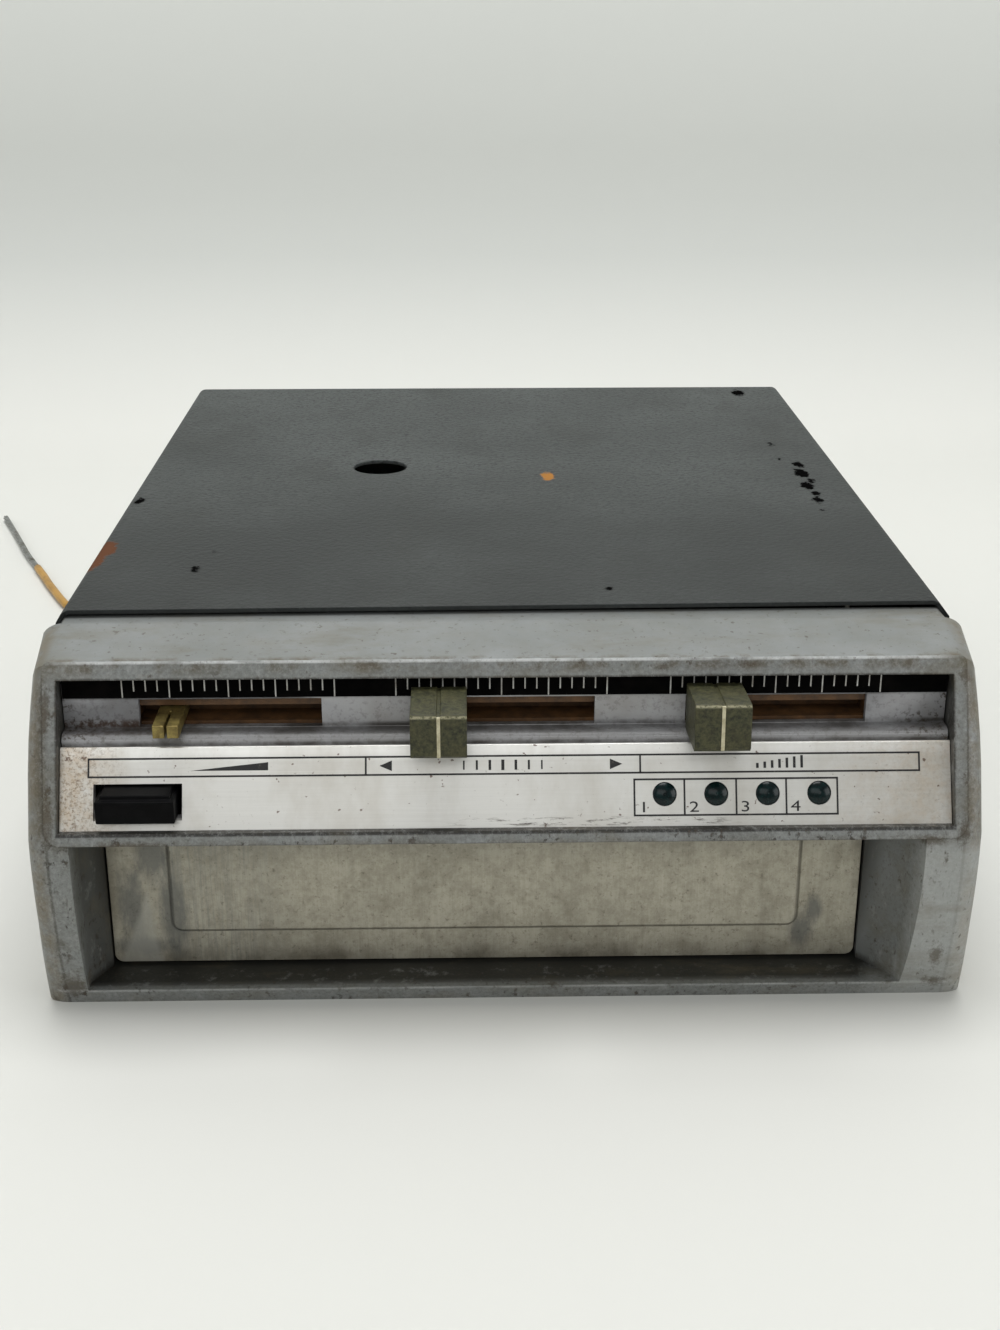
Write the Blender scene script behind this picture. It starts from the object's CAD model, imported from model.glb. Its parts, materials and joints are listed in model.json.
import math

import bmesh
import bpy
from mathutils import Matrix, Vector
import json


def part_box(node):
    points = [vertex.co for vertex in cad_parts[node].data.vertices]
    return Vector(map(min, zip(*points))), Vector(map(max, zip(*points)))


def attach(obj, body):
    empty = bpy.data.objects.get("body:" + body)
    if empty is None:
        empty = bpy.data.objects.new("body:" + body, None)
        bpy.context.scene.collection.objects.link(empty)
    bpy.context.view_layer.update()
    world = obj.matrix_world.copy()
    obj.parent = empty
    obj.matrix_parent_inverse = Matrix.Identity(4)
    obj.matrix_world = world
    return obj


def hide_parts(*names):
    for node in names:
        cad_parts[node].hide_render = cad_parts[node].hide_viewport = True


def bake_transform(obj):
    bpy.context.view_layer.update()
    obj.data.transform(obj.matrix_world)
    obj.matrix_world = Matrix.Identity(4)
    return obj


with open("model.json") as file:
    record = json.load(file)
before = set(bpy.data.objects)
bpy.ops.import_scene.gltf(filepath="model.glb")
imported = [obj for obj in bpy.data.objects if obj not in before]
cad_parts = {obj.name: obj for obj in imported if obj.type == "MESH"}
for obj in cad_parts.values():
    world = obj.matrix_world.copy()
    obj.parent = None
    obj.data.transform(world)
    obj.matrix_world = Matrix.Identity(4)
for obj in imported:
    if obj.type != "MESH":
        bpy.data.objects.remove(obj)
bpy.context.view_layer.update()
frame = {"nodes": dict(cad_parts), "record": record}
MM = 0.001

# ---- Camera -----------------------------------------------------------------
# The unit is seen from above its front, a hand's width left of the middle. The
# lens and the place were solved from the window, the rail and the cover's edges.
FRONT_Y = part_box("top_cover")[0].y  # the cover's front edge, where it meets the bezel
CAMERA_PLACE = Vector((-6.5 * MM, FRONT_Y - 275.6 * MM, 161.2 * MM))
CAMERA_PITCH = math.radians(21.43)
CAMERA_YAW = math.radians(1.19)

camera_data = bpy.data.cameras.new("camera")
camera_data.lens = 47.37
camera_data.sensor_width = 36
camera_data.clip_start = 0.01
camera = bpy.data.objects.new("camera", camera_data)
camera.location = CAMERA_PLACE
camera.rotation_euler = (math.pi / 2 - CAMERA_PITCH, 0, -CAMERA_YAW)
bpy.context.scene.collection.objects.link(camera)
bpy.context.scene.camera = camera
bpy.context.scene.view_settings.view_transform = "Standard"


# ---- Loose lead -------------------------------------------------------------
# Yellow vinyl wire out of the grommet in the rear panel. It drops to the table,
# runs out to the left, and ends in twisted tinned strands, cut and stripped.
def edge_point(x, y, z):
    """A point in metres from millimetres across, behind the bezel's back, and up."""
    return Vector((x * MM, FRONT_Y + y * MM, z * MM))


def srgb(r, g, b):
    """A colour written as it looks on screen, 0 to 255, as a linear one."""
    parts = [c / 255 for c in (r, g, b)]
    return [c / 12.92 if c <= 0.04045 else ((c + 0.055) / 1.055) ** 2.4 for c in parts] + [1]


def add(tree, kind, values=None, **properties):
    """A node with its settings. A value that is a socket, a term, a node or nodes is linked."""
    made = tree.nodes.new(kind)
    for key, value in properties.items():
        setattr(made, key, value)
    for key, value in (values or {}).items():
        several = isinstance(value, list) and isinstance(value[0], bpy.types.Node)
        for source in value if several else [value]:
            if isinstance(source, bpy.types.Node):
                source = source.outputs[0]
            source = getattr(source, "socket", source)
            if isinstance(source, bpy.types.NodeSocket):
                tree.links.new(source, made.inputs[key])
            else:
                made.inputs[key].default_value = source
    return made


class Term:
    """A node's value that can be reckoned with as a plain number is."""

    def __init__(self, tree, socket):
        self.tree = tree
        self.socket = socket

    def step(self, operation, other=0.0):
        node = add(self.tree, "ShaderNodeMath", {0: self, 1: other}, operation=operation)
        return Term(self.tree, node.outputs[0])

    def __add__(self, other):
        return self.step("ADD", other)

    def __sub__(self, other):
        return self.step("SUBTRACT", other)

    def __rsub__(self, other):
        return self * -1.0 + other

    def __mul__(self, other):
        return self.step("MULTIPLY", other)

    def __truediv__(self, other):
        return self.step("DIVIDE", other)

    def __pow__(self, other):
        return self.step("POWER", other)

    def __abs__(self):
        return self.step("ABSOLUTE")

    def most(self, other):
        return self.step("MAXIMUM", other)

    def least(self, other):
        return self.step("MINIMUM", other)

    def ramp(self, low, high):
        """Stretched so that low gives 0 and high gives 1."""
        node = add(self.tree, "ShaderNodeMapRange", {
            "Value": self, "From Min": low, "From Max": high})
        return Term(self.tree, node.outputs[0])

    def band(self, centre, half, fade):
        """1 within half of the centre, and down to 0 over the fade beyond it."""
        return abs(self - centre).ramp(half + fade, half)


class Paint:
    """A finish whose colours are laid on in coats, each by a mask."""

    def __init__(self, name, colour, metallic=0.0, roughness=0.5, specular=0.5):
        self.material = bpy.data.materials.new(name)
        self.material.use_nodes = True
        self.tree = self.material.node_tree
        self.tree.nodes.clear()
        self.out = add(self.tree, "ShaderNodeOutputMaterial")
        self.surface = add(self.tree, "ShaderNodeBsdfPrincipled", {
            "Base Color": srgb(*colour), "Metallic": metallic, "Roughness": roughness,
            "Specular IOR Level": specular})
        self.tree.links.new(self.surface.outputs[0], self.out.inputs["Surface"])
        self.body = srgb(*colour)

    def drive(self, name, term):
        """One of the surface's settings follows a term."""
        self.tree.links.new(term.socket, self.surface.inputs[name])

    def term(self, kind, values=None, output=0, **properties):
        return Term(self.tree, add(self.tree, kind, values, **properties).outputs[output])

    def place(self, scale=(1, 1, 1), centre=(0, 0, 0)):
        """The piece's own coordinates in millimetres, centred on a point in millimetres."""
        return self.term("ShaderNodeMapping", {
            "Vector": self.term("ShaderNodeTexCoord", output="Object"),
            "Location": [-c * s for c, s in zip(centre, scale)],
            "Scale": [s / MM for s in scale]})

    def split(self, vector):
        parts = add(self.tree, "ShaderNodeSeparateXYZ", {"Vector": vector})
        return [Term(self.tree, part) for part in parts.outputs]

    def spot(self, across, back, up, scale):
        """How far a point is from a place (across, behind the bezel's back, up), by a scale."""
        place = self.place(scale, (across, FRONT_Y / MM + back, up))
        return self.term("ShaderNodeVectorMath", {0: place}, "Value", operation="LENGTH")

    def noise(self, vector, size, detail=4, roughness=0.55):
        """Cloudy noise whose blotches are about size units of the vector across."""
        return self.term("ShaderNodeTexNoise", {"Vector": vector, "Scale": 1 / size,
                                                "Detail": detail, "Roughness": roughness})

    def coat(self, mask, colour, strength=1.0):
        """Lays one more colour over the body where the mask is 1."""
        mixed = add(self.tree, "ShaderNodeMix", {
            0: mask * strength, 6: self.body, 7: srgb(*colour)}, data_type="RGBA")
        self.body = mixed.outputs[2]
        self.tree.links.new(self.body, self.surface.inputs["Base Color"])

    def bump(self, height, distance):
        """Bumps the shading by a height pattern, distance in millimetres."""
        self.drive("Normal", self.term("ShaderNodeBump", {
            "Height": height, "Strength": 1.0, "Distance": distance * MM}))


def mottled(name, colour, dark, size, span, detail=4, grain=0.7, bump=None, **surface):
    """A finish with cloudy wear: one colour, another where the noise is in the span's top."""
    paint = Paint(name, colour, **surface)
    place = paint.place()
    paint.coat(paint.noise(place, size, detail, grain).ramp(*span), dark)
    if bump:
        bump_size, bump_detail, distance = bump
        paint.bump(paint.noise(place, bump_size, bump_detail), distance)
    return paint.material


def smooth_route(points, steps):
    """Points on a smooth curve through the given ones, as the frame's tubes follow."""
    route = []
    last = len(points) - 1
    for i in range(last):
        a, b = points[max(i - 1, 0)], points[i]
        c, d = points[i + 1], points[min(i + 2, last)]
        for s in range(steps):
            t = s / steps
            route.append(0.5 * (2 * b + (c - a) * t + (2 * a - 5 * b + 4 * c - d) * t * t
                                + (3 * b - a - 3 * c + d) * t ** 3))
    return route + [points[-1]]


def skin(bm, rings, near=-1, far=1):
    """Joins rings of vertices into one closed solid. The ends run forwards or backwards."""
    for first, second in zip(rings, rings[1:]):
        for j in range(len(first)):
            k = (j + 1) % len(first)
            bm.faces.new((first[j], first[k], second[k], second[j]))
    bm.faces.new(rings[0][::near])
    bm.faces.new(rings[-1][::far])
    bmesh.ops.recalc_face_normals(bm, faces=bm.faces)


def put(name, data):
    """A new object in the scene."""
    obj = bpy.data.objects.new(name, data)
    bpy.context.scene.collection.objects.link(obj)
    return obj


def finish_mesh(name, mesh_maker, material):
    """A new object at the origin whose mesh the maker fills, smooth but for its corners."""
    bm = bmesh.new()
    mesh_maker(bm)
    mesh = bpy.data.meshes.new(name)
    bm.normal_update()
    bm.to_mesh(mesh)
    bm.free()
    obj = put(name, mesh)
    mesh.materials.append(material)
    mesh.shade_smooth()
    mesh.set_sharp_from_angle(angle=math.radians(35))
    return obj


# the nodes that a piece made here stands for. The screws are made last of all
dressed = {"screws"}


def install(obj, node, body="root"):
    """The piece stands for its CAD node, moves with its body and wears its finish."""
    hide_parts(node)
    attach(obj, body)
    dressed.add(node)


def sweep(bm, route, ring):
    """Sweeps a ring of (sideways, up) offsets, given for each point, along a route."""
    rings = []
    for i, point in enumerate(route):
        along = (route[min(i + 1, len(route) - 1)] - route[max(i - 1, 0)]).normalized()
        side = along.cross(Vector((0, 0, 1))).normalized()
        up = side.cross(along)
        rings.append([bm.verts.new(point + side * a + up * b) for a, b in ring(i)])
    skin(bm, rings)


WIRE_RADIUS = 1.1 * MM
WIRE_POINTS = [edge_point(*p) for p in (
    (-58, 171.9, 9.5), (-58, 177, 9.3), (-59.5, 182, 8.3), (-64, 185.5, 6.7),
    (-71, 186.5, 4.8), (-80, 184.6, 3), (-88, 181.4, 1.8), (-96, 178.2, 1.3),
    (-104, 176.2, 1.2), (-111, 176.5, 1.2), (-115.5, 179.2, 1.2), (-117.8, 183, 1.2),
    (-120.2, 188, 1.2), (-124.2, 196.6, 1.2), (-128, 205.4, 1.2), (-131, 212, 1.2))]
BARE_POINTS = [edge_point(*p) for p in (
    (-131, 212, 1.2), (-133.8, 218, 1.2), (-137, 225, 1.3), (-139.4, 231, 1.3),
    (-142.4, 238.6, 1.2), (-147.8, 252, 1.1), (-152.8, 264, 1))]


def round_ring(radius, sides=16):
    return lambda i: [(radius * math.cos(2 * math.pi * j / sides),
                       radius * math.sin(2 * math.pi * j / sides)) for j in range(sides)]


def strand_mesh(bm):
    """Seven strands laid round each other, splayed a little at the cut end."""
    route = smooth_route(BARE_POINTS, 10)
    strand = 0.28 * MM
    lay = 0.35
    spread = [0.52 * MM + 0.03 * MM * max(0, i - len(route) + 12) / 4 for i in range(len(route))]
    for s in range(7):
        path = []
        for i, point in enumerate(route):
            along = (route[min(i + 1, len(route) - 1)] - route[max(i - 1, 0)]).normalized()
            side = along.cross(Vector((0, 0, 1))).normalized()
            up = side.cross(along)
            turn = 2 * math.pi * s / 6 + lay * i
            out = 0 if s == 6 else spread[i]
            path.append(point + out * (math.cos(turn) * side + math.sin(turn) * up))
        sweep(bm, path, round_ring(strand, 8))


wire_route = smooth_route(WIRE_POINTS, 6)
wire = finish_mesh("lead_insulation", lambda bm: sweep(bm, wire_route, round_ring(WIRE_RADIUS)),
                   mottled("yellow_vinyl", (176, 133, 54), (118, 84, 38), 6, (0.45, 0.75),
                           grain=0.55, bump=(0.8, 4, 0.05), roughness=0.42))
strands = finish_mesh("lead_strands", strand_mesh,
                      mottled("tinned_strands", (150, 152, 150), (96, 90, 80), 3, (0.4, 0.7),
                              grain=0.55, metallic=0.8, roughness=0.45))
install(wire, "lead_wire")
install(strands, "lead_bare_end")
wire_length = sum((b - a).length for a, b in zip(wire_route, wire_route[1:]))

# ---- Table and light --------------------------------------------------------
# A pale seamless sheet curves up behind the unit. One large soft lamp hangs over
# the front and weaker ones stand round it, as in a light tent.
SHEET_FRONT, SHEET_BACK = -1.6, 0.36
SHEET_HALF, SHEET_TOP = 1.6, 1.4
COVE_RADIUS = 0.10


def backdrop_material():
    """Pale paper. Its back is see-through, so the unit can be looked at from behind."""
    paint = Paint("pale_sheet", (217, 217, 212), roughness=0.75)
    height = paint.split(paint.place())[2]
    paint.coat(height.ramp(5, 60), (199, 201, 197))
    paint.coat(height.ramp(80, 260), (228, 230, 226))
    behind = paint.term("ShaderNodeNewGeometry", output="Backfacing")
    clear = add(paint.tree, "ShaderNodeBsdfTransparent")
    mixed = add(paint.tree, "ShaderNodeMixShader", {0: behind, 1: paint.surface, 2: clear})
    paint.tree.links.new(mixed.outputs[0], paint.out.inputs["Surface"])
    return paint.material


def sheet_mesh(bm):
    profile = [(SHEET_FRONT, 0.0), (-0.6, 0.0), (SHEET_BACK - COVE_RADIUS, 0.0)]
    for i in range(1, 17):
        a = math.pi / 2 * i / 16
        profile.append((SHEET_BACK - COVE_RADIUS + COVE_RADIUS * math.sin(a),
                        COVE_RADIUS - COVE_RADIUS * math.cos(a)))
    profile.append((SHEET_BACK, SHEET_TOP))
    rows = [[bm.verts.new((x, y, z)) for y, z in profile] for x in (-SHEET_HALF, SHEET_HALF)]
    for i in range(len(profile) - 1):
        bm.faces.new((rows[0][i], rows[1][i], rows[1][i + 1], rows[0][i + 1]))


sheet = finish_mesh("backdrop", sheet_mesh, backdrop_material())


def soft_lamp(name, place, target, width, height, power):
    lamp = bpy.data.lights.new(name, "AREA")
    lamp.shape = "RECTANGLE"
    lamp.size = width
    lamp.size_y = height
    lamp.energy = power
    obj = put(name, lamp)
    obj.location = place
    obj.rotation_euler = (Vector(target) - Vector(place)).to_track_quat("-Z", "Y").to_euler()


soft_lamp("top_lamp", (0.0, 0.04, 0.95), (0, 0, 0), 0.6, 0.5, 6.2)
soft_lamp("front_lamp", (-0.22, -0.88, 0.64), (0, 0, 0.03), 0.9, 0.5, 2.0)
soft_lamp("right_lamp", (0.85, -0.45, 0.32), (0, 0, 0.03), 0.6, 0.5, 2.4)
soft_lamp("left_lamp", (-0.9, -0.1, 0.45), (0, 0, 0.03), 0.6, 0.6, 1.5)

world = bpy.data.worlds.new("world")
bpy.context.scene.world = world
world.use_nodes = True
world_shade = world.node_tree.nodes["Background"]
world_shade.inputs["Color"].default_value = (0.90, 0.93, 0.92, 1)
world_shade.inputs["Strength"].default_value = 0.31

# ---- Top cover --------------------------------------------------------------
# Folded steel sheet with dark grey wrinkle enamel. It slides over the pan from
# the back and is screwed through its sides. The hole is for adjusting the head.
COVER_SHEET = 0.8 * MM
COVER_FOLD = 2.0 * MM
COVER_GAP_LEFT, COVER_GAP_RIGHT = 2.4 * MM, 4.4 * MM  # its front edge is a little askew
HOLE_RADIUS = 5.75 * MM
COVER_TOP = 62.5
HOLE_PLACE = edge_point(-24.8, 93.9, COVER_TOP)
BLACK_CHIP = (9, 9, 9)
RUST = (96, 66, 50)
FLAKE = (158, 112, 62)
# chips and flecks on the top: across, back from the front edge, reach, colour
COVER_MARKS = [(*chip, BLACK_CHIP) for chip in (
    (66.2, 94, 1.1), (65.6, 87, 1.5), (66.6, 81, 0.7), (65.0, 77, 1.3), (65.6, 71, 0.8),
    (65.2, 66, 1.0), (64.6, 59, 0.4), (62.8, 99, 0.4), (63.2, 112, 0.7), (63.5, 165, 1.5),
    (18.4, 12, 0.4), (-55, 24, 0.6), (-53, 34, 0.4), (-72.5, 68, 0.9))]
COVER_MARKS += [(11.2, 85.7, 1.4, FLAKE), (-73.5, 36, 2.3, RUST), (-74.3, 28.5, 2.1, RUST)]


def wrinkle_enamel():
    paint = Paint("wrinkle_enamel", (33, 36, 35), roughness=0.62)
    coat, noise = paint.coat, paint.noise
    place = paint.place(centre=(0, FRONT_Y / MM, 0))
    cells = paint.term("ShaderNodeTexVoronoi", {"Vector": place, "Scale": 1.0, "Randomness": 1.0},
                       "Distance", feature="SMOOTH_F1")
    behind = paint.split(place)[1]
    coat(behind.ramp(0, 170) * 0.6 + noise(place, 60, 5, 0.6).ramp(0.40, 0.66) * 0.4, (77, 81, 80))
    coat(noise(place, 0.75, 3, 0.7).ramp(0.52, 0.36), (40, 42, 42))
    coat(noise(place, 1.3, 4, 0.8).ramp(0.64, 0.74), (104, 107, 104), 0.4)
    stain = noise(paint.place((1, 0.5, 1), (7, 0, 0)), 16, 5, 0.6)
    coat(stain.ramp(0.54, 0.68), (44, 46, 44), 0.45)
    ragged = noise(place, 1.4, 4, 0.7) * 3.0
    marks = None
    for across, along, reach, colour in COVER_MARKS:
        near = paint.spot(across, along, COVER_TOP, (1, 0.45, 1)) + ragged
        mark = near.ramp(reach + 1.7, reach + 1.3)
        coat(mark, colour)
        marks = marks.most(mark) if marks else mark
    paint.drive("Specular IOR Level", (1.0 - marks) * 0.3)
    paint.bump(cells * 0.8 + noise(place, 0.5, 3) * 0.6, 0.2)
    return paint.material


def prism(bm, outline, low, high, axis):
    """A straight prism on a closed outline, along axis 0, 1 or 2 between two levels."""
    def at(point, level):
        parts = list(point)
        parts.insert(axis, level)
        return bm.verts.new(parts)

    skin(bm, [[at(point, level) for point in outline] for level in (low, high)])


def circle_outline(a, b, radius, count=48):
    return [(a + radius * math.cos(2 * math.pi * i / count),
             b + radius * math.sin(2 * math.pi * i / count)) for i in range(count)]


def apply_modifiers(obj):
    """Turns the object's modifiers into its mesh."""
    graph = bpy.context.evaluated_depsgraph_get()
    mesh = bpy.data.meshes.new_from_object(obj.evaluated_get(graph))
    old = obj.data
    obj.modifiers.clear()
    obj.data = mesh
    bpy.data.meshes.remove(old)


def carve(obj, maker, operation="DIFFERENCE"):
    """Cuts the shape that the maker builds from the object, or adds it."""
    tool = finish_mesh("tool", maker, obj.data.materials[0])
    step = obj.modifiers.new("carve", "BOOLEAN")
    step.operation = operation
    step.solver = "EXACT"
    step.object = tool
    apply_modifiers(obj)
    bpy.data.objects.remove(tool)


def soften(obj, width, segments=2, angle=32):
    """Rounds the object's corners by a width in metres."""
    mesh = obj.data
    bm = bmesh.new()
    bm.from_mesh(mesh)
    bmesh.ops.remove_doubles(bm, verts=bm.verts, dist=2e-6)
    bmesh.ops.dissolve_limit(bm, angle_limit=math.radians(0.4), verts=bm.verts, edges=bm.edges)
    bm.to_mesh(mesh)
    bm.free()
    step = obj.modifiers.new("soften", "BEVEL")
    step.width = width
    step.segments = segments
    step.limit_method = "ANGLE"
    step.angle_limit = math.radians(angle)
    step.use_clamp_overlap = True
    apply_modifiers(obj)
    obj.data.shade_smooth()
    obj.data.set_sharp_from_angle(angle=math.radians(40))
    step = obj.modifiers.new("flatten", "WEIGHTED_NORMAL")
    step.keep_sharp = True
    apply_modifiers(obj)


def copy_of(node, name, material):
    """A piece with the same shape as a CAD node, ready to be finished."""
    obj = frame["nodes"][node].copy()
    obj.data = obj.data.copy()
    obj.name = name
    obj.parent = None
    for key in list(obj.keys()):
        if key.startswith("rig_"):
            del obj[key]
    bpy.context.scene.collection.objects.link(obj)
    obj.data.materials.clear()
    obj.data.materials.append(material)
    return obj


cover_low, cover_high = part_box("top_cover")


def portal_outline(inset):
    """The cover's section: two sides and a top, with round folds."""
    radius = COVER_FOLD - inset
    right = cover_high.x - inset
    top = cover_high.z - inset
    bottom = cover_low.z - (0 if inset == 0 else 2 * MM)
    corner = [(right - radius + radius * math.cos(a), top - radius + radius * math.sin(a))
              for a in (math.pi / 2 * i / 10 for i in range(11))]
    mirrored = [(-x, z) for x, z in reversed(corner)]
    return [(right, bottom)] + corner + mirrored + [(-right, bottom)]


enamel = wrinkle_enamel()
cover = finish_mesh("cover_shell", lambda bm: prism(bm, portal_outline(0), cover_low.y,
                                                    cover_high.y, 1), enamel)
carve(cover, lambda bm: prism(bm, portal_outline(COVER_SHEET), cover_low.y - MM,
                              cover_high.y + MM, 1))
carve(cover, lambda bm: prism(bm, circle_outline(HOLE_PLACE.x, HOLE_PLACE.y, HOLE_RADIUS),
                              HOLE_PLACE.z - 3 * MM, HOLE_PLACE.z + 3 * MM, 2))
for level, radius, places in ((8, 1.6, (6, 86, 159)), (44, 2.75, (55, 115))):
    for across in places:
        centre = edge_point(0, across, level)
        carve(cover, lambda bm: prism(bm, circle_outline(centre.y, centre.z, radius * MM, 24),
                                      cover_low.x - MM, cover_high.x + MM, 0))
for vertex in cover.data.vertices:
    if vertex.co.y < cover_low.y + MM and vertex.co.z > cover_high.z - 1.2 * MM:
        across = (vertex.co.x - cover_low.x) / (cover_high.x - cover_low.x)
        vertex.co.y += COVER_GAP_LEFT + (COVER_GAP_RIGHT - COVER_GAP_LEFT) * across
soften(cover, 0.22 * MM)
install(cover, "top_cover")

# ---- Bezel ------------------------------------------------------------------
# One grey enamelled die casting: a leaning frame round the controls, a round
# nose below it, and the mouth for the cartridge. It is worn and grimy at its edges.
bezel_low, bezel_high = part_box("bezel")
BEZEL_WIDTH = bezel_high.x - bezel_low.x
FACE_LEAN = math.radians(20.5)
FOOT_Y, FOOT_Z = 24.75, 32.0
FACE_LENGTH = 29.6
FRAME_RAISE = 0.5
SIDE_ROUND = 4.0
SIDE_DEPTH = 3.2
RIDGE_PULL = 1.4 * MM
WINDOW_HALF = 72.0
WINDOW_LOW, WINDOW_HIGH = 33.9, 56.88
FRAME_HALF = 74.2
NOSE_RADIUS = 78.0
NOSE_MIDDLE = 28.0  # how high up the nose is furthest out
LIP_TOP = 2.8
# brown stains on the front: across, up, half width, half height
STAINS = ((-72.5, 4, 3.5, 4.5), (-73.6, 36, 1.6, 7), (-73.8, 52, 1.4, 5), (-60, 31.6, 9, 1.6),
          (71.6, 9, 1.8, 3.4), (72.5, 3, 3, 1.6), (68, 31.6, 5, 1.4), (73.6, 33, 1.6, 3),
          (74.4, 57, 2.2, 2.6), (39, 58.6, 3.4, 1.1), (25, 58.4, 2.4, 0.8))


def outline_distance(across, up, centre, half, radius):
    """How far a point is outside a rounded rectangle, and below 0 inside it."""
    a, b = [abs(value - middle) - (reach - radius)
            for value, middle, reach in zip((across, up), centre, half)]
    corner = (a.most(0.0) ** 2.0 + b.most(0.0) ** 2.0) ** 0.5
    return corner + a.most(b).least(0.0) - radius


def bezel_enamel():
    paint = Paint("bezel_enamel", (130, 133, 133), metallic=0.15)
    coat, noise = paint.coat, paint.noise
    place = paint.place(centre=(0, FRONT_Y / MM, 0))
    x, y, z = paint.split(place)
    side = abs(x)
    cloud = noise(place, 24, 6, 0.62)
    mid = noise(place, 4.5, 5, 0.7)
    grain = noise(place, 0.7, 4, 0.85)
    stretch = noise(paint.place((0.25, 1, 1)), 3.0, 4, 0.7)
    broken = mid.ramp(0.36, 0.56)
    coat(cloud.ramp(0.36, 0.66), (115, 118, 116))
    coat(mid.ramp(0.40, 0.66), (112, 108, 96), 0.22)
    # the leaning face and the nose are duller than the top, and the sides brown with dirt
    front = y.ramp(-13.6, -14.6)
    coat(front, (112, 113, 107), 0.2)
    coat(side.ramp(73.6, 75.2) * mid.ramp(0.34, 0.58), (108, 97, 76), 0.7)
    # soot in the mouth, thickest at the door and on the left, and none on the right wall's front
    arc = (NOSE_RADIUS ** 2 - (NOSE_MIDDLE - z) ** 2.0) ** 0.5
    depth = y + arc + (FOOT_Y + 0.2 - NOSE_RADIUS)
    inside = z.ramp(FOOT_Z + 0.6, FOOT_Z - 0.4) * side.ramp(71.6, 71.0) * depth.ramp(1.1, 1.9)
    inside = inside * (1.0 - x.ramp(60, 62) * depth.ramp(7, 3))
    coat(inside * (x.ramp(50, -64) * 0.67 + 0.08) * depth.ramp(-2, 7), (48, 49, 45))
    coat(inside * depth.ramp(9, 12), (36, 34, 28), 0.8)
    coat(inside * z.ramp(LIP_TOP + 1.6, LIP_TOP) * depth.ramp(0.5, 3), (34, 34, 30), 0.95)
    # grime in the step round the raised frame and round the window
    up = (z - FOOT_Z) / math.cos(FACE_LEAN)
    frame_edge = outline_distance(x, up, (0, FACE_LENGTH / 2), (FRAME_HALF, FACE_LENGTH / 2), 2.6)
    below_ridge = front * z.ramp(59.0, 57.6)
    crease = side.band(FRAME_HALF - 0.3, 0.1, 0.25) * z.ramp(FOOT_Z, FOOT_Z - 2)
    coat((frame_edge.band(0.15, 0.1, 0.25) * below_ridge).most(crease * 0.8), (56, 52, 44), 0.8)
    coat(frame_edge.band(0.4, 0.2, 1.3) * below_ridge * broken, (76, 69, 56), 0.5)
    window_edge = outline_distance(x, z, (0, (WINDOW_LOW + WINDOW_HIGH) / 2),
                                   (WINDOW_HALF, (WINDOW_HIGH - WINDOW_LOW) / 2), 0.3)
    coat(window_edge.band(-0.1, 0.15, 0.4) * front * broken, (50, 44, 36), 0.85)
    sill = z.band(WINDOW_LOW - 0.1, 0.32, 0.2) * side.ramp(WINDOW_HALF + 0.5, WINDOW_HALF + 0.2)
    coat(sill * front, (24, 20, 20), 0.9)
    coat(window_edge.ramp(0.30, 0.06) * y.ramp(-10, -11), (40, 38, 33), 0.85)
    # the ridge and the lip are rubbed to bright metal, with grime where a hand doesn't reach
    ridge_reach = ((y + 14.3) ** 2.0 + (z - 59.6) ** 2.0) ** 0.5
    lip_reach = ((y - (nose_y(LIP_TOP) + 0.15)) ** 2.0 + (z - (LIP_TOP - 0.1)) ** 2.0) ** 0.5
    coat(ridge_reach.ramp(0.50, 0.25) * side.ramp(74, 70) * stretch.ramp(0.70, 0.50),
         (214, 216, 216), 0.85)
    coat(lip_reach.ramp(0.55, 0.25) * stretch.ramp(0.66, 0.46), (176, 178, 176), 0.8)
    coat(ridge_reach.band(1.0, 0.3, 1.0) * mid.ramp(0.46, 0.62), (78, 68, 50), 0.75)
    coat(side.ramp(66, 74) * ridge_reach.ramp(5, 1), (92, 84, 62), 0.45)
    # dark chips along the frame's lower edge, the mouth's sides and the lip
    chipped = (z.band(FOOT_Z, 0.5, 1.2) * front).most(side.band(71, 1.2, 3.0) * z.ramp(31, 29))
    chipped = chipped.most(z.ramp(5, 1.5) * 0.7)
    chipped = chipped.most(x.band(-73.4, 0.6, 1.4) * z.ramp(56, 48) * 0.9)
    cluster = noise(place, 5.5, 3, 0.6).ramp(0.46, 0.58)
    speck = noise(paint.place((1, 1, 0.7)), 1.0, 3, 0.62)
    coat(speck.ramp(0.56, 0.62) * chipped * cluster, (40, 36, 31), 0.9)
    # a fine pale and dark grain, cleaner at the right end of the nose
    coat(grain.ramp(0.50, 0.66) * front * (1.0 - inside), (160, 161, 157), 0.35)
    coat(grain.ramp(0.48, 0.34) * front, (78, 75, 66), 0.45)
    coat(x.ramp(59, 67) * z.ramp(32, 29) * depth.ramp(4, 1), (176, 178, 175), 0.45)
    coat(speck.ramp(0.62, 0.68) * (cluster * 0.55 + 0.45), (66, 56, 44), 0.7)
    coat(noise(place, 8, 6, 0.75).ramp(0.60, 0.68) * front, (72, 66, 54), 0.6)
    for across, level, wide, tall in STAINS:
        reach = paint.spot(across, -20, level, (1 / wide, 0.02, 1 / tall))
        coat((reach + (mid + grain) * 1.6).ramp(2.4, 1.9) * front, (70, 60, 45), 0.7)
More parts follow.
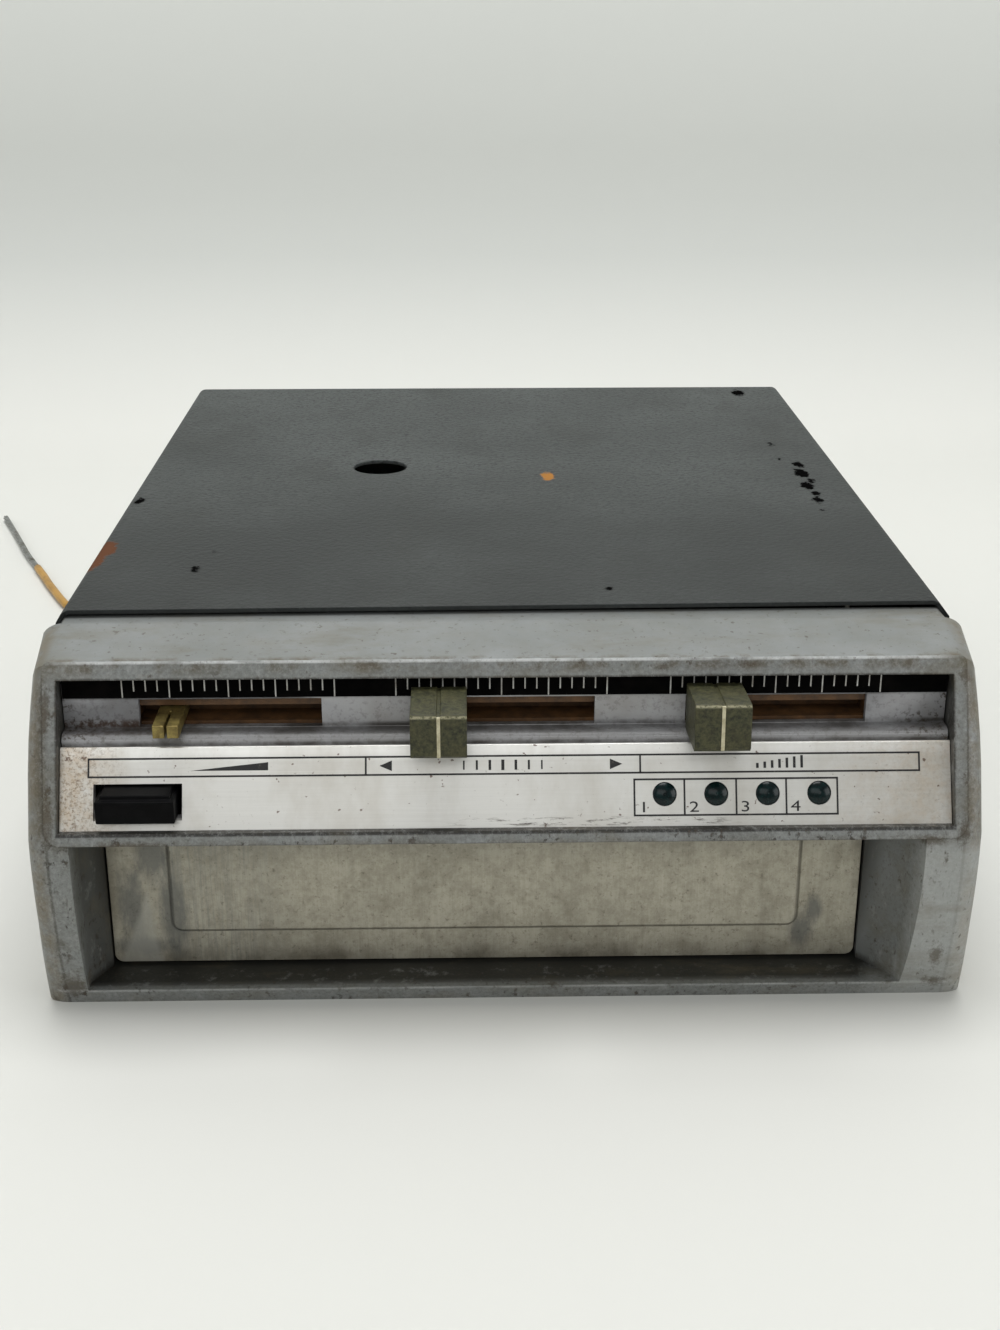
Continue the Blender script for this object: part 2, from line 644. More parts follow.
    # scratches, rubbed places and smudges
    scratch = noise(paint.place((1.6, 1, 0.25)), 1.6, 4, 0.8)
    coat(scratch.ramp(0.62, 0.70) * front, (70, 66, 58), 0.55)
    pale = noise(paint.place((1, 1, 0.5)), 2.4, 5, 0.75)
    coat(pale.ramp(0.56, 0.72) * front, (166, 168, 166), 0.4)
    coat(noise(paint.place((0.35, 1, 1)), 7, 5, 0.7).ramp(0.52, 0.70), (98, 90, 70), 0.42)
    paint.drive("Roughness", paint.term("ShaderNodeMapRange", {
        "Value": cloud, "To Min": 0.36, "To Max": 0.55}))
    paint.bump(noise(place, 0.7, 3), 0.025)
    return paint.material


def nose_y(z):
    """How far forward the round nose is at a height, a wide arc."""
    return -(FOOT_Y + 0.2 - NOSE_RADIUS + math.sqrt(NOSE_RADIUS ** 2 - (NOSE_MIDDLE - z) ** 2))


def side_profile(inset):
    """The bezel's side view, set back by an inset, as points (y, z) in millimetres."""
    sill = 0.55 * inset
    ridge_y = -(FOOT_Y - FACE_LENGTH * math.sin(FACE_LEAN))
    ridge_z = FOOT_Z + FACE_LENGTH * math.cos(FACE_LEAN)
    top = 61.6
    ridge = Vector((ridge_y + 0.8 * inset, ridge_z - 0.9 * inset))
    foot = Vector((-FOOT_Y + inset, FOOT_Z - 0.2 - 0.1 * inset))
    points = [(0, top - inset)] + [tuple(ridge.lerp(foot, i / 5)) for i in range(6)]
    points += [(nose_y(z) + sill + (inset - sill) * min(1, z / 16), z)
               for z in (NOSE_MIDDLE - 2 * i for i in range(15))]
    points += [(0, 0)]
    return points


def loft_sections(bm, sections):
    """Joins closed outlines of (y, z) points, each at its own x, into one solid."""
    rings = [[bm.verts.new((x * MM, FRONT_Y + y * MM, z * MM)) for y, z in outline]
             for x, outline in sections]
    skin(bm, rings, near=1, far=-1)


def bezel_blank(bm):
    half = BEZEL_WIDTH / MM / 2
    layers = []
    for i in range(9):
        off = SIDE_ROUND * i / 8
        inset = SIDE_DEPTH * (1 - math.sqrt(1 - (1 - off / SIDE_ROUND) ** 2))
        layers.append((half - off, side_profile(FRAME_RAISE + inset)))
    loft_sections(bm, layers + [(-x, outline) for x, outline in reversed(layers)])
    for vertex in bm.verts:
        # the ends draw in towards the ridge
        forward = min(1, max(0, (FRONT_Y - vertex.co.y) / (12 * MM)))
        rise = min(1, max(0, (vertex.co.z - 40 * MM) / (19 * MM)))
        pull = RIDGE_PULL * forward * rise ** 2
        vertex.co.x -= math.copysign(pull, vertex.co.x)


def face_point(across, up, out):
    """A point on the leaning face: across, up the face from its foot, and out of it."""
    return edge_point(across,
                      -FOOT_Y + up * math.sin(FACE_LEAN) - out * math.cos(FACE_LEAN),
                      FOOT_Z + up * math.cos(FACE_LEAN) + out * math.sin(FACE_LEAN))


def rounded_outline(left, low, right, high, radii, steps=8):
    """A rectangle whose corners have their own radii, from the lower left anticlockwise."""
    corners = ((left, low, 180), (right, low, 270), (right, high, 0), (left, high, 90))
    outline = []
    for (a, b, start), radius in zip(corners, radii):
        if radius == 0:
            outline.append((a, b))
            continue
        ca = a + radius if start in (180, 90) else a - radius
        cb = b + radius if start in (180, 270) else b - radius
        for i in range(steps + 1):
            t = math.radians(start + 90 * i / steps)
            outline.append((ca + radius * math.cos(t), cb + radius * math.sin(t)))
    return outline


def face_slab(bm, outline, back, out, place=face_point):
    """A slab on a leaning face, from its outline, between two depths."""
    skin(bm, [[bm.verts.new(place(a, b, depth)) for a, b in outline] for depth in (back, out)])


def block_mesh(low, high):
    """A plain block between two corners in millimetres, used as a cutting tool."""
    outline = [(low[0] * MM, FRONT_Y + low[1] * MM), (high[0] * MM, FRONT_Y + low[1] * MM),
               (high[0] * MM, FRONT_Y + high[1] * MM), (low[0] * MM, FRONT_Y + high[1] * MM)]
    return lambda bm: prism(bm, outline, low[2] * MM, high[2] * MM, 2)


MOUTH_LEFT = (-70.4, -67.65)
MOUTH_RIGHT = (67.2, 60.65)
MOUTH_BACK = 10.5
MOUTH_MIDDLE = 18.0


def mouth_tool(bm):
    """The mouth: straight walls at the front that close in towards the door."""
    outline = [(MOUTH_LEFT[1], -MOUTH_BACK + 1), (MOUTH_LEFT[1], -MOUTH_BACK - 2),
               (MOUTH_LEFT[0], -MOUTH_MIDDLE), (MOUTH_LEFT[0], -40), (MOUTH_RIGHT[0] + 1.2, -40),
               (MOUTH_RIGHT[0] + 0.6, -24.6), (MOUTH_RIGHT[0] - 1.3, -18.5),
               (MOUTH_RIGHT[1], -MOUTH_BACK - 2),
               (MOUTH_RIGHT[1], -MOUTH_BACK + 1)]
    prism(bm, [(x * MM, FRONT_Y + y * MM) for x, y in outline], LIP_TOP * MM, FOOT_Z * MM, 2)


bezel_paint = bezel_enamel()
bezel = finish_mesh("bezel_casting", bezel_blank, bezel_paint)
frame_outline = rounded_outline(-FRAME_HALF, 0, FRAME_HALF, FACE_LENGTH, (2.6, 2.6, 1.2, 1.2))
carve(bezel, lambda bm: face_slab(bm, frame_outline, -3, 0), "UNION")
carve(bezel, block_mesh((-74.1, -0.15, 59.4), (74.1, 5, 61.1)), "UNION")
carve(bezel, mouth_tool)
carve(bezel, block_mesh((-73.5, -MOUTH_BACK, LIP_TOP), (73.5, 1, 57.5)))
carve(bezel, block_mesh((-WINDOW_HALF, -40, WINDOW_LOW), (WINDOW_HALF, -9.5, WINDOW_HIGH)))
carve(bezel, block_mesh((-73.5, -13.4, 31), (73.5, -9.5, 34)))
soften(bezel, 0.4 * MM, segments=3, angle=28)
install(bezel, "bezel")

# ---- Control plate ----------------------------------------------------------
# Lacquered aluminium with a rolled top edge, brushed along its length, stained
# brown at both ends. Outlines and marks are printed on it in black.
PLATE_LEAN = math.radians(25.6)
PLATE_TOP_Y, PLATE_TOP_Z = 17.1, 46.1
PLATE_LOW_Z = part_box("control_plate")[0].z / MM


def plate_point(across, down, out):
    """A point on the printed plate: across, down from its top edge, and out of it."""
    return edge_point(across,
                      -PLATE_TOP_Y - down * math.sin(PLATE_LEAN) - out * math.cos(PLATE_LEAN),
                      PLATE_TOP_Z - down * math.cos(PLATE_LEAN) + out * math.sin(PLATE_LEAN))


def plate_metal():
    paint = Paint("plate_metal", (200, 199, 194), metallic=0.55, roughness=0.34)
    coat, noise = paint.coat, paint.noise
    place = paint.place(centre=(0, FRONT_Y / MM, 0))
    x, _, z = paint.split(place)
    brush = noise(paint.place((0.06, 3, 3)), 1.0, 4, 0.7)
    fine = noise(place, 0.6, 4, 0.8)
    coat(brush, (214, 213, 208))
    coat(z.ramp(43.6, 45.2), (236, 235, 231), 0.9)
    coat(noise(paint.place((1, 0.5, 0.5)), 9, 5, 0.65).ramp(0.42, 0.7), (162, 154, 138), 0.35)
    left = x.ramp(-60.5, -69)
    right = x.ramp(46, 74) * 0.7
    ends = left.most(right)
    coat(noise(place, 6, 6, 0.7).ramp(0.30, 0.62) * ends, (168, 152, 128), 0.55)
    coat(noise(place, 1.7, 5, 0.75).ramp(0.44, 0.62) * ends, (186, 160, 126), 0.4)
    coat(fine.ramp(0.48, 0.62) * left.most(right * 0.35), (118, 98, 76), 0.75)
    coat(fine.ramp(0.66, 0.74), (84, 68, 54), 0.75)
    coat(noise(place, 1.1, 2, 0.5).ramp(0.70, 0.74), (88, 62, 48), 0.8)
    # dirt lies in streaks along the lower edge
    low = z.band(PLATE_LOW_Z + 1.2, 0.3, 0.5) * x.ramp(-12, 0) * x.ramp(42, 30)
    coat(low * noise(paint.place((0.22, 2, 2)), 1.0, 5, 0.8).ramp(0.54, 0.60), (64, 56, 46), 0.85)
    paint.bump(brush, 0.012)
    return paint.material


plate = copy_of("control_plate", "printed_plate", plate_metal())
for vertex in plate.data.vertices:
    if abs(vertex.co.x) > 70 * MM:
        vertex.co.x = math.copysign(71.9 * MM, vertex.co.x)
soften(plate, 0.12 * MM)
install(plate, "control_plate")

INK_HEIGHT = 0.03
LABEL_BOX = (-67.3, 2.0, 66.8, 4.9)
LABEL_DIVIDERS = (-22.8, 21.5)
LAMP_BOX = (20.5, 6.0, 53.4, 11.8)
LAMP_DIVIDERS = (28.6, 37.0, 45.1)


def ink_outline(bm, outline):
    face_slab(bm, outline, 0, INK_HEIGHT, plate_point)


def ink_line(bm, a, b, width=0.3):
    """A printed line on the plate between two points (across, down)."""
    start, end = Vector(a), Vector(b)
    side = Vector((-(end - start).y, (end - start).x)).normalized() * width / 2
    along = (end - start).normalized() * width / 2
    ink_outline(bm, [start - side - along, end - side + along, end + side + along,
                     start + side - along])


def printed_lines(bm):
    for left, top, right, bottom in (LABEL_BOX, LAMP_BOX):
        ink_line(bm, (left, top), (right, top))
        ink_line(bm, (left, bottom), (right, bottom))
        ink_line(bm, (left, top), (left, bottom))
        ink_line(bm, (right, top), (right, bottom))
    for across in LABEL_DIVIDERS:
        ink_line(bm, (across, LABEL_BOX[1]), (across, LABEL_BOX[3]))
    for across in LAMP_DIVIDERS:
        ink_line(bm, (across, LAMP_BOX[1]), (across, LAMP_BOX[3]))
    # a wedge that grows, arrowheads to both sides, and a row of rising bars
    ink_outline(bm, [(-51, 4.0), (-38.5, 2.7), (-38.5, 4.0)])
    for centre, turn in ((-19.5, -1), (17.5, 1)):
        ink_outline(bm, [(centre + turn * 1.1, 3.45), (centre - turn * 0.9, 2.6),
                         (centre - turn * 0.9, 4.3)])
    for i in range(-3, 4):
        across = -0.7 + 2.1 * i
        ink_line(bm, (across, 3.45 - 0.6), (across, 3.45 + 0.6), 0.5 - 0.08 * abs(i))
    for i in range(7):
        height = 0.4 + 0.2 * i
        ink_line(bm, (40.5 + 1.2 * i, 4.1 - height), (40.5 + 1.2 * i, 4.1), 0.42)


ink = mottled("print_ink", (20, 19, 20), (70, 66, 60), 1.2, (0.60, 0.70), roughness=0.5)
lines = finish_mesh("printed_lines", printed_lines, ink)
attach(lines, "root")


def text_mesh(name, words, size, place, material):
    """Raised figures standing on a leaning face, from the font, as one mesh."""
    curve = bpy.data.curves.new(name, "FONT")
    curve.body = words
    curve.size = size
    curve.extrude = INK_HEIGHT / 2
    curve.resolution_u = 4
    obj = put(name, curve)
    graph = bpy.context.evaluated_depsgraph_get()
    mesh = bpy.data.meshes.new_from_object(obj.evaluated_get(graph))
    bpy.data.objects.remove(obj)
    for vertex in mesh.vertices:
        vertex.co = place(vertex.co.x, vertex.co.y, vertex.co.z + INK_HEIGHT / 2)
    mesh.materials.clear()
    mesh.materials.append(material)
    return put(name, mesh)


for number, across in enumerate((21.15, 29.3, 37.6, 45.75), start=1):
    figure = text_mesh(f"figure_{number}", str(number), 2.45,
                       lambda x, y, z, left=across: plate_point(left + 1.4 * x, 11.3 - y, z), ink)
    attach(figure, "root")

# ---- Slide fascia and scale -------------------------------------------------
# A light grey moulding with three slots over a round ledge. A black strip with
# pale ticks is stuck above the slots.


def fascia_plastic():
    paint = Paint("fascia_plastic", (166, 166, 168), metallic=0.2, roughness=0.42)
    coat, noise = paint.coat, paint.noise
    place = paint.place()
    x, _, z = paint.split(place)
    cloud = noise(place, 9, 5, 0.65)
    fine = noise(place, 0.9, 4, 0.75)
    coat(cloud.ramp(0.44, 0.70), (126, 121, 113), 0.45)
    coat(z.ramp(48.4, 47.3), (118, 118, 116), 0.45)
    coat(z.band(47.9, 0.1, 0.6) * cloud.ramp(0.36, 0.6), (46, 40, 32), 0.8)
    coat(z.band(45.8, 0.3, 0.6) * cloud.ramp(0.30, 0.6), (48, 44, 38), 0.9)
    rust = z.band(48.3, 0.3, 0.7) * x.ramp(-50, -58)
    coat(rust * fine.ramp(0.40, 0.52), (84, 60, 46), 0.8)
    edges = (abs(x).ramp(60, 69) * z.band(48.0, 1.0, 2.0)).most(0.3)
    coat(fine.ramp(0.52, 0.62) * edges.most(abs(x).ramp(68.8, 71.2)), (64, 54, 42), 0.9)
    return paint.material


fascia = copy_of("slider_fascia", "slide_fascia", fascia_plastic())
soften(fascia, 0.2 * MM)
install(fascia, "slider_fascia")

strip_black = mottled("strip_black", (3, 3, 3), (14, 12, 11), 4, (0.45, 0.8), detail=5,
                      roughness=0.9, specular=0.04)
strip_low, strip_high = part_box("scale_strip")
strip_low.z += 0.25 * MM
strip_mesh = block_mesh((strip_low.x / MM, (strip_low.y - FRONT_Y) / MM, strip_low.z / MM),
                        (strip_high.x / MM, (strip_high.y - FRONT_Y) / MM, strip_high.z / MM))
strip = finish_mesh("scale_backing", strip_mesh, strip_black)
soften(strip, 0.08 * MM)
install(strip, "scale_strip")

TICK_PITCH = 1.9
TICKS = 19
LONG_TICKS = (0, 4, 9, 13, 18)
SCALE_CENTRES = (-44.9, -0.8, 43.7)


def socket(tree, name, kind, default=None):
    made = tree.interface.new_socket(name, in_out="INPUT", socket_type=kind)
    if default is not None:
        made.default_value = default
    return made.identifier


def node_tree(name):
    """An empty Geometry Nodes tree with its group input and output."""
    tree = bpy.data.node_groups.new(name, "GeometryNodeTree")
    tree.interface.new_socket("Geometry", in_out="INPUT", socket_type="NodeSocketGeometry")
    tree.interface.new_socket("Geometry", in_out="OUTPUT", socket_type="NodeSocketGeometry")
    return tree


def finish_tree(tree, instances, material):
    """Instances become one mesh in the given material, which is the tree's result."""
    real = add(tree, "GeometryNodeRealizeInstances", {"Geometry": instances})
    painted = add(tree, "GeometryNodeSetMaterial", {"Geometry": real, "Material": material})
    add(tree, "NodeGroupOutput", {"Geometry": painted})


def tick_tree():
    """A bar stands on every point of the mesh, as long as the point says."""
    tree = node_tree("scale_ticks")
    socket(tree, "Tick width", "NodeSocketFloat", 0.21 * MM)
    socket(tree, "Tick depth", "NodeSocketFloat", 0.06 * MM)
    paint = socket(tree, "Paint", "NodeSocketMaterial")
    given = add(tree, "NodeGroupInput").outputs
    size = add(tree, "ShaderNodeCombineXYZ", {"X": given["Tick width"], "Y": given["Tick depth"],
                                              "Z": 1.0})
    bar = add(tree, "GeometryNodeMeshCube", {"Size": size})
    length = add(tree, "GeometryNodeInputNamedAttribute", {"Name": "length"}, data_type="FLOAT")
    scale = add(tree, "ShaderNodeCombineXYZ", {"X": 1.0, "Y": 1.0, "Z": length})
    placed = add(tree, "GeometryNodeInstanceOnPoints", {
        "Points": given["Geometry"], "Instance": bar, "Scale": scale})
    finish_tree(tree, placed, given["Paint"])
    return tree, paint


def grow(name, points, attributes, tree, material_id, material):
    """Runs a Geometry Nodes tree on a cloud of points and keeps the mesh."""
    mesh = bpy.data.meshes.new(name)
    mesh.from_pydata([tuple(p) for p in points], [], [])
    for key, (kind, data) in attributes.items():
        layer = mesh.attributes.new(key, kind, "POINT")
        if kind == "FLOAT":
            layer.data.foreach_set("value", data)
        else:
            layer.data.foreach_set("vector", [c for v in data for c in v])
    obj = put(name, mesh)
    step = obj.modifiers.new("grow", "NODES")
    step.node_group = tree
    step[material_id] = material
    apply_modifiers(obj)
    if not obj.data.materials:
        obj.data.materials.append(material)
    return obj


tick_points, tick_lengths = [], []
for centre in SCALE_CENTRES:
    for i in range(TICKS):
        high = WINDOW_HIGH * MM - 0.1 * MM
        low = strip_low.z + (0.1 if i in LONG_TICKS else 1.2) * MM
        place = edge_point(centre + (i - (TICKS - 1) / 2) * TICK_PITCH, 0, 0)
        tick_points.append((place.x, strip_low.y, (high + low) / 2))
        tick_lengths.append(high - low)
ticks = grow("scale_ticks", tick_points, {"length": ("FLOAT", tick_lengths)}, *tick_tree(),
             mottled("tick_paint", (184, 184, 180), (112, 104, 94), 2, (0.40, 0.75),
                     roughness=0.6))
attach(ticks, "root")

# ---- Lenses and program button ----------------------------------------------
# Four dark green moulded jewels, and a black stepped push button.
lenses = copy_of("lenses", "lamp_jewels", mottled(
    "green_jewel", (4, 14, 15), (8, 32, 32), 0.9, (0.3, 0.7), detail=3, grain=0.55,
    roughness=0.2, specular=0.25))
soften(lenses, 0.1 * MM)
install(lenses, "lenses")

button = copy_of("program_button", "push_button", mottled(
    "button_black", (3, 3, 4), (11, 11, 12), 2.2, (0.45, 0.75), detail=5,
    roughness=0.45, specular=0.07))
soften(button, 0.25 * MM)
install(button, "program_button", "button")

# ---- Slide knobs and levers -------------------------------------------------
# Olive moulded knobs with a cream sighting line, pushed on forked brass levers.
# The volume lever's knob is lost, so its fork shows.


def knob_olive(name, edge_y, edge_z):
    """Speckled olive, rubbed cream along the front's top edge, at (y, z) in millimetres."""
    paint = Paint(name, (72, 72, 46), specular=0.35)
    coat, noise = paint.coat, paint.noise
    place = paint.place(centre=(0, edge_y, edge_z))
    _, y, z = paint.split(place)
    mottle = noise(place, 0.8, 5, 0.8)
    coat(mottle.ramp(0.38, 0.62), (30, 32, 19))
    coat(noise(place, 4, 4, 0.6).ramp(0.42, 0.7), (86, 80, 50), 0.3)
    reach = (y ** 2.0 + z ** 2.0) ** 0.5
    coat(reach.ramp(0.54, 0.34) * mottle.ramp(0.43, 0.52), (196, 190, 154), 0.75)
    coat(noise(place, 0.7, 5, 0.85).ramp(0.66, 0.74), (132, 128, 104), 0.6)
    paint.bump(mottle, 0.07)
    return paint.material


cream = mottled("cream_paint", (196, 190, 160), (150, 140, 108), 1.5, (0.4, 0.75), roughness=0.55)
brass = mottled("dull_brass", (158, 142, 84), (92, 78, 46), 1.8, (0.35, 0.7), detail=5,
                metallic=0.7, roughness=0.42)
LINE_HALF = 0.28
# how far each control's front end is bent up from straight
BEND = {"volume": math.radians(0), "balance": math.radians(-1.4), "tone": math.radians(4.4)}
PIVOT = edge_point(0, -13, 49.6)
KNOB_GROWTH = {"balance": 0.4 * MM, "tone": 0.8 * MM}  # below the part's plain knobs


def bent(point, control):
    """Where a point of a straight control goes when its lever is bent."""
    turn = Matrix.Rotation(-BEND[control], 3, "X")
    return PIVOT + turn @ (point - PIVOT)


def bend(obj, control):
    for vertex in obj.data.vertices:
        vertex.co = bent(vertex.co, control)


for control in ("balance", "tone"):
    low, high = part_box(f"{control}_knob")
    low.z -= KNOB_GROWTH[control]
    edge = bent(Vector((low.x, low.y, high.z)), control) / MM
    olive = knob_olive(f"{control}_olive", edge.y, edge.z)
    knob = copy_of(f"{control}_knob", f"{control}_cap", olive)
    for vertex in knob.data.vertices:
        if vertex.co.z < (low.z + high.z) / 2:
            vertex.co.z -= KNOB_GROWTH[control]
    soften(knob, 0.35 * MM, segments=3)
    bend(knob, control)
    install(knob, f"{control}_knob", f"{control}_control")
    middle = (low.x + high.x) / 2 / MM
    top, front = high.z / MM, (low.y - FRONT_Y) / MM
    line = finish_mesh(f"{control}_line", block_mesh(
        (middle - LINE_HALF, front - 0.03, low.z / MM + 0.3),
        (middle + LINE_HALF, front + 0.4, top - 0.25)), cream)
    bend(line, control)
    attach(line, f"{control}_control")
for control in ("volume", "balance", "tone"):
    lever = copy_of(f"{control}_lever", f"{control}_fork", brass)
    soften(lever, 0.18 * MM)
    bend(lever, control)
    install(lever, f"{control}_lever", f"{control}_control")

# ---- Cartridge door ---------------------------------------------------------
# Brushed sheet with a pressed centre panel. It hangs from a pin behind the rail
# and swings inwards. Cartridges have scuffed it grey at both lower corners.
door_low, door_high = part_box("cartridge_door")
DOOR_MIDDLE = (door_low.x + door_high.x) / 2 / MM
DOOR_HALF = (door_high.x - door_low.x) / 2 / MM
PRESS_MIDDLE, PRESS_HALF, PRESS_LOW = DOOR_MIDDLE, 53.4, 9.4
# grey smears: across, up, half width, half height
GREY_SMEARS = ((-63.6, 14, 2.4, 8), (-56.6, 13, 2.6, 10), (-60, 24, 3.0, 6), (51, 8.0, 2.0, 4.2),
               (53, 12.5, 1.4, 3), (-62, 6.4, 6, 1.8))
WEDGE_ACROSS, WEDGE_TOP = -60.8, 17.5


def door_steel():
    paint = Paint("door_steel", (164, 159, 143), metallic=0.35)
    coat, noise = paint.coat, paint.noise
    place = paint.place(centre=(0, FRONT_Y / MM, 0))
    x, _, z = paint.split(place)
    brush = noise(paint.place((2.0, 1, 0.07)), 1.0, 6, 0.8)
    cloud = noise(paint.place((1, 1, 0.5)), 12, 5, 0.6)
    mottle = noise(place, 3.2, 8, 0.8)
    coat(brush.ramp(0.32, 0.68), (182, 177, 160))
    coat(cloud.ramp(0.44, 0.72), (122, 118, 104), 0.5)
    coat(mottle.ramp(0.46, 0.66), (120, 114, 96), 0.5)
    coat(mottle.ramp(0.50, 0.36), (190, 186, 170), 0.35)
    coat(z.ramp(22, 29), (104, 104, 100), 0.35)
    # the pressed panel's outline shows as a fine dark line
    press = outline_distance(x, z, (PRESS_MIDDLE, PRESS_LOW + 25), (PRESS_HALF, 25), 1.7)
    groove = press.band(0.0, 0.1, 0.3)
    coat(groove, (78, 74, 64), 0.5)
    coat(x.band(-49, 5, 9) * brush.ramp(0.42, 0.60), (108, 110, 106), 0.5)
    edges = outline_distance(x, z, (DOOR_MIDDLE, 24), (DOOR_HALF, 20), 1.0)
    coat(edges.ramp(-2.4, 0) * cloud.ramp(0.36, 0.6), (70, 62, 48), 0.55)
    coat(noise(place, 0.9, 5, 0.8).ramp(0.56, 0.68), (84, 76, 60), 0.6)
    ragged = noise(paint.place((1.2, 1, 0.35)), 2.6, 5, 0.75)
    for across, up, wide, tall in GREY_SMEARS:
        reach = paint.spot(across, -11, up, (1 / wide, 0.01, 1 / tall))
        coat((reach + ragged * 1.6).ramp(2.0, 1.3), (88, 90, 88), 0.7)
    # a clean wedge is left between the smears at the lower left
    below = WEDGE_TOP - z
    off = abs(x - WEDGE_ACROSS + below * 0.13)
    coat((below * 0.27 - ragged * 1.2 - off).ramp(-0.9, 0.3), (168, 167, 158), 0.6)
    paint.drive("Roughness", paint.term("ShaderNodeMapRange", {
        "Value": brush, "To Min": 0.36, "To Max": 0.52}))
    paint.bump(brush - groove * 5, 0.03)
    return paint.material


door = copy_of("cartridge_door", "door_leaf", door_steel())
soften(door, 0.22 * MM, segments=3)
install(door, "cartridge_door", "door")

# ---- Pieces behind the front and inside -------------------------------------
# Sheet metal, brass, nylon, laminate and wire that show through the slots, the
# hole and the mouth, or from behind. Their frames' own shapes carry the finish.


def plain_finish(name, colour, dark, metallic, roughness, size=4.0):
    """A finish with cloudy wear: one colour, a darker one, and a fine grain."""
    return mottled(name, colour, dark, size, (0.35, 0.75), detail=5, grain=0.65,
                   bump=(size / 6, 3, 0.02), metallic=metallic, roughness=roughness)


FINISHES = {
    "zinc_steel": plain_finish("zinc_sheet", (160, 160, 156), (120, 118, 110), 0.8, 0.42, 6),
    "black_plastic": plain_finish("black_moulding", (26, 26, 27), (44, 43, 42), 0, 0.5),
    "lamp_glass": plain_finish("lamp_glass", (190, 188, 178), (150, 146, 130), 0, 0.15),
    "phenolic": plain_finish("brown_laminate", (104, 72, 40), (48, 33, 20), 0, 0.6, 2.5),
    "brass": brass,
    "spring_steel": plain_finish("spring_wire", (150, 150, 150), (110, 108, 104), 0.9, 0.3),
    "nylon": plain_finish("nylon", (222, 218, 202), (190, 184, 160), 0, 0.45),
    "machined_steel": plain_finish("ground_steel", (176, 176, 176), (140, 138, 134), 0.9, 0.25),
    "rubber": plain_finish("black_rubber", (22, 22, 22), (36, 35, 34), 0, 0.7),
    "head_metal": plain_finish("head_can", (190, 190, 186), (160, 156, 148), 0.9, 0.2),
    "copper_coil": plain_finish("coil_lacquer", (140, 74, 38), (104, 52, 26), 0.3, 0.4, 2),
    "board": plain_finish("board_laminate", (120, 92, 48), (96, 72, 38), 0, 0.5, 8),
    "components": plain_finish("component_cases", (40, 62, 116), (24, 26, 34), 0, 0.4, 12),
    "sink_metal": plain_finish("sink_metal", (182, 184, 186), (150, 150, 150), 0.8, 0.4),
    "screw_zinc": plain_finish("screw_zinc", (156, 156, 150), (96, 88, 76), 0.8, 0.38, 1.5),
}
# springs give between the case and the body they push: node, body, axis, the body's end
for node, body, axis, end in (("button_spring", "button", 1, 0),
                              ("plunger_spring", "solenoid_plunger", 0, 0),
                              ("lift_spring", "head", 2, 0), ("latch_spring", "latch", 0, 1)):
    coil = copy_of(node, f"{node}_wire", FINISHES["spring_steel"])
    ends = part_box(node)
    moving = ends[0].lerp(ends[1], 0.5)
    fixed = moving.copy()
    moving[axis] = ends[end][axis]
    fixed[axis] = ends[1 - end][axis]
    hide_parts(node)
    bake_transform(coil)
    dressed.add(node)
slots = {part["node"]: part["material_slot"] for part in frame["record"]["subparts"]}
for node, obj in frame["nodes"].items():
    if node not in dressed:
        obj.data.materials.clear()
        obj.data.materials.append(FINISHES[slots[node]])

# ---- Screws -----------------------------------------------------------------
# Zinc plated pan heads with a cross recess, in the cover's sides, the rear panel,
# the deck, the motor and the control board. One tree sets them all.


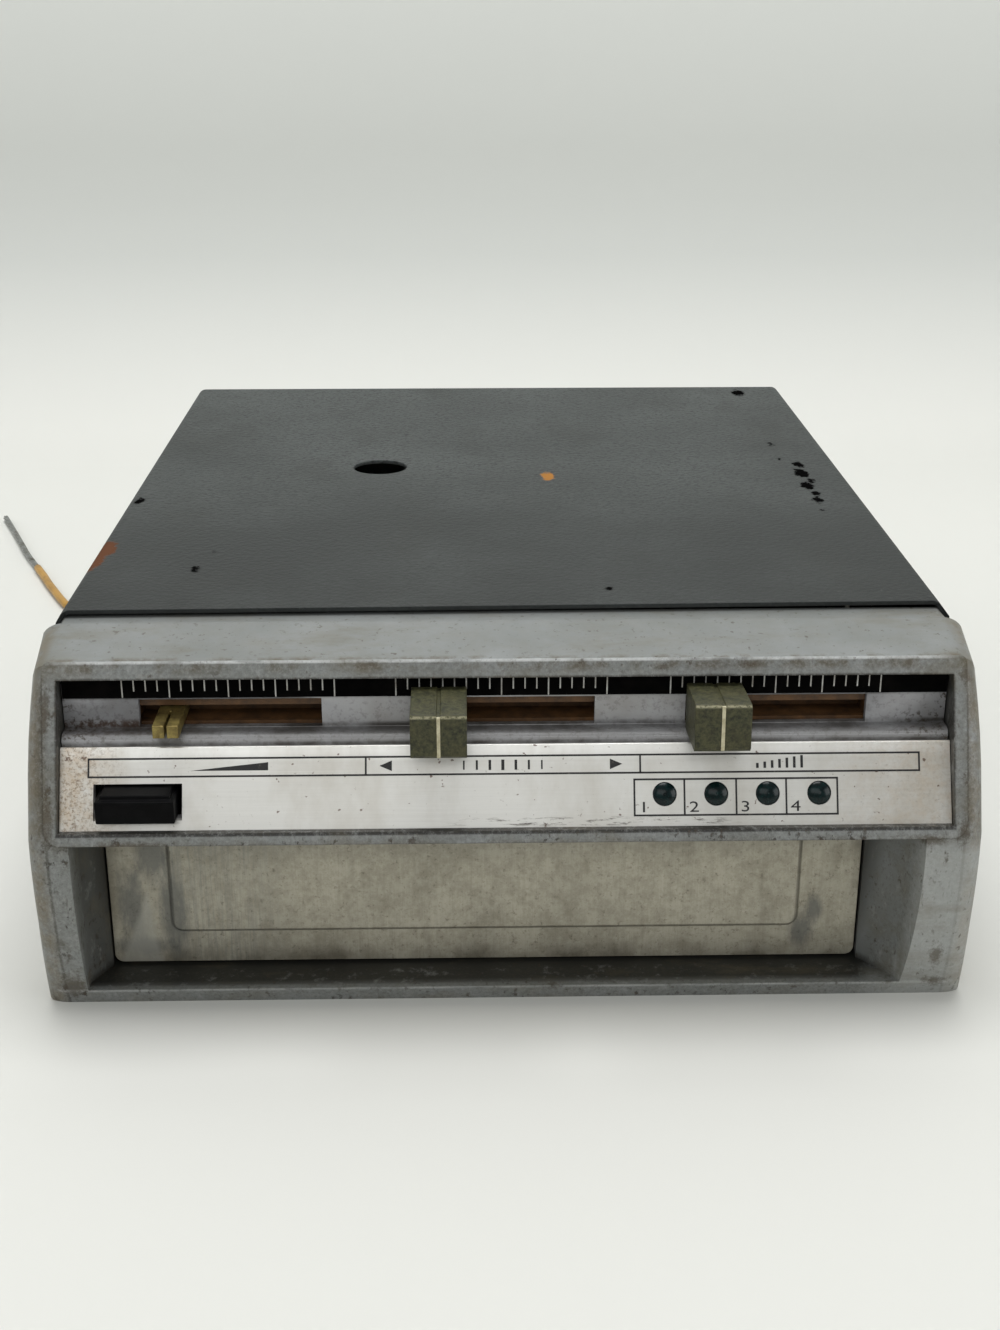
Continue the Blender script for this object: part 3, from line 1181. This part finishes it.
def screw_tree():
    """A pan head screw stands on every point, turned along the point's own direction."""
    tree = node_tree("pan_screws")
    socket(tree, "Shank radius", "NodeSocketFloat", 1.45 * MM)
    metal = socket(tree, "Metal", "NodeSocketMaterial")
    given = add(tree, "NodeGroupInput").outputs

    def raised(height, kind, values):
        return add(tree, "GeometryNodeTransform", {
            "Geometry": add(tree, kind, values), "Translation": (0, 0, height)})

    def own(name):
        return add(tree, "GeometryNodeInputNamedAttribute", {"Name": name},
                   data_type="FLOAT_VECTOR")

    def stand(solid, size_name):
        return add(tree, "GeometryNodeInstanceOnPoints", {
            "Points": given["Geometry"], "Instance": solid, "Rotation": turned,
            "Scale": own(size_name)})

    turned = add(tree, "FunctionNodeAlignRotationToVector", {"Vector": own("out")}, axis="Z")
    head = [raised(0.31, "GeometryNodeMeshCylinder", {"Vertices": 28, "Radius": 1.0,
                                                      "Depth": 0.62}),
            raised(0.62, "GeometryNodeMeshCone", {"Vertices": 28, "Radius Top": 0.72,
                                                  "Radius Bottom": 1.0, "Depth": 0.38})]
    cross = [raised(0.95, "GeometryNodeMeshCube", {"Size": size})
             for size in ((1.15, 0.26, 0.9), (0.26, 1.15, 0.9))]
    solid = add(tree, "GeometryNodeMeshBoolean", {"Mesh 2": head}, operation="UNION")
    recessed = add(tree, "GeometryNodeMeshBoolean", {"Mesh 1": solid, "Mesh 2": cross},
                   operation="DIFFERENCE")
    shank = raised(-0.5, "GeometryNodeMeshCylinder", {"Vertices": 20, "Depth": 1.0,
                                                      "Radius": given["Shank radius"]})
    joined = add(tree, "GeometryNodeJoinGeometry", {
        "Geometry": [stand(recessed, "head"), stand(shank, "reach")]})
    finish_tree(tree, joined, given["Metal"])
    return tree, metal


screw_places = []
for side in (-1, 1):
    for across in (6, 86, 159):
        screw_places.append((edge_point(side * 75, across, 8), (side, 0, 0), 3.0, 1.2, 4.6))
    screw_places.append((edge_point(side * 45, 170.4, 6), (0, 1, 0), 3.0, 1.2, 3.4))
    screw_places.append((edge_point(side * 69.5, -2.7, 40), (0, 1, 0), 2.6, 1.2, 4.0))
for x in (-59, 52):
    for y in (25, 85.2):
        screw_places.append((edge_point(x, y, 33.5), (0, 0, 1), 3.0, 1.2, 4.0))
for turn in (30, 150, 270):
    screw_places.append((edge_point(-46 + 12 * math.cos(math.radians(turn)),
                                    144 + 12 * math.sin(math.radians(turn)), 33.5),
                         (0, 0, 1), 3.0, 1.2, 3.5))
screws = grow("case_screws", [s[0] for s in screw_places], {
    "out": ("FLOAT_VECTOR", [s[1] for s in screw_places]),
    "head": ("FLOAT_VECTOR", [(s[2] * MM, s[2] * MM, s[3] * MM) for s in screw_places]),
    "reach": ("FLOAT_VECTOR", [(1, 1, s[4] * MM) for s in screw_places]),
}, *screw_tree(), FINISHES["screw_zinc"])
install(screws, "screws")
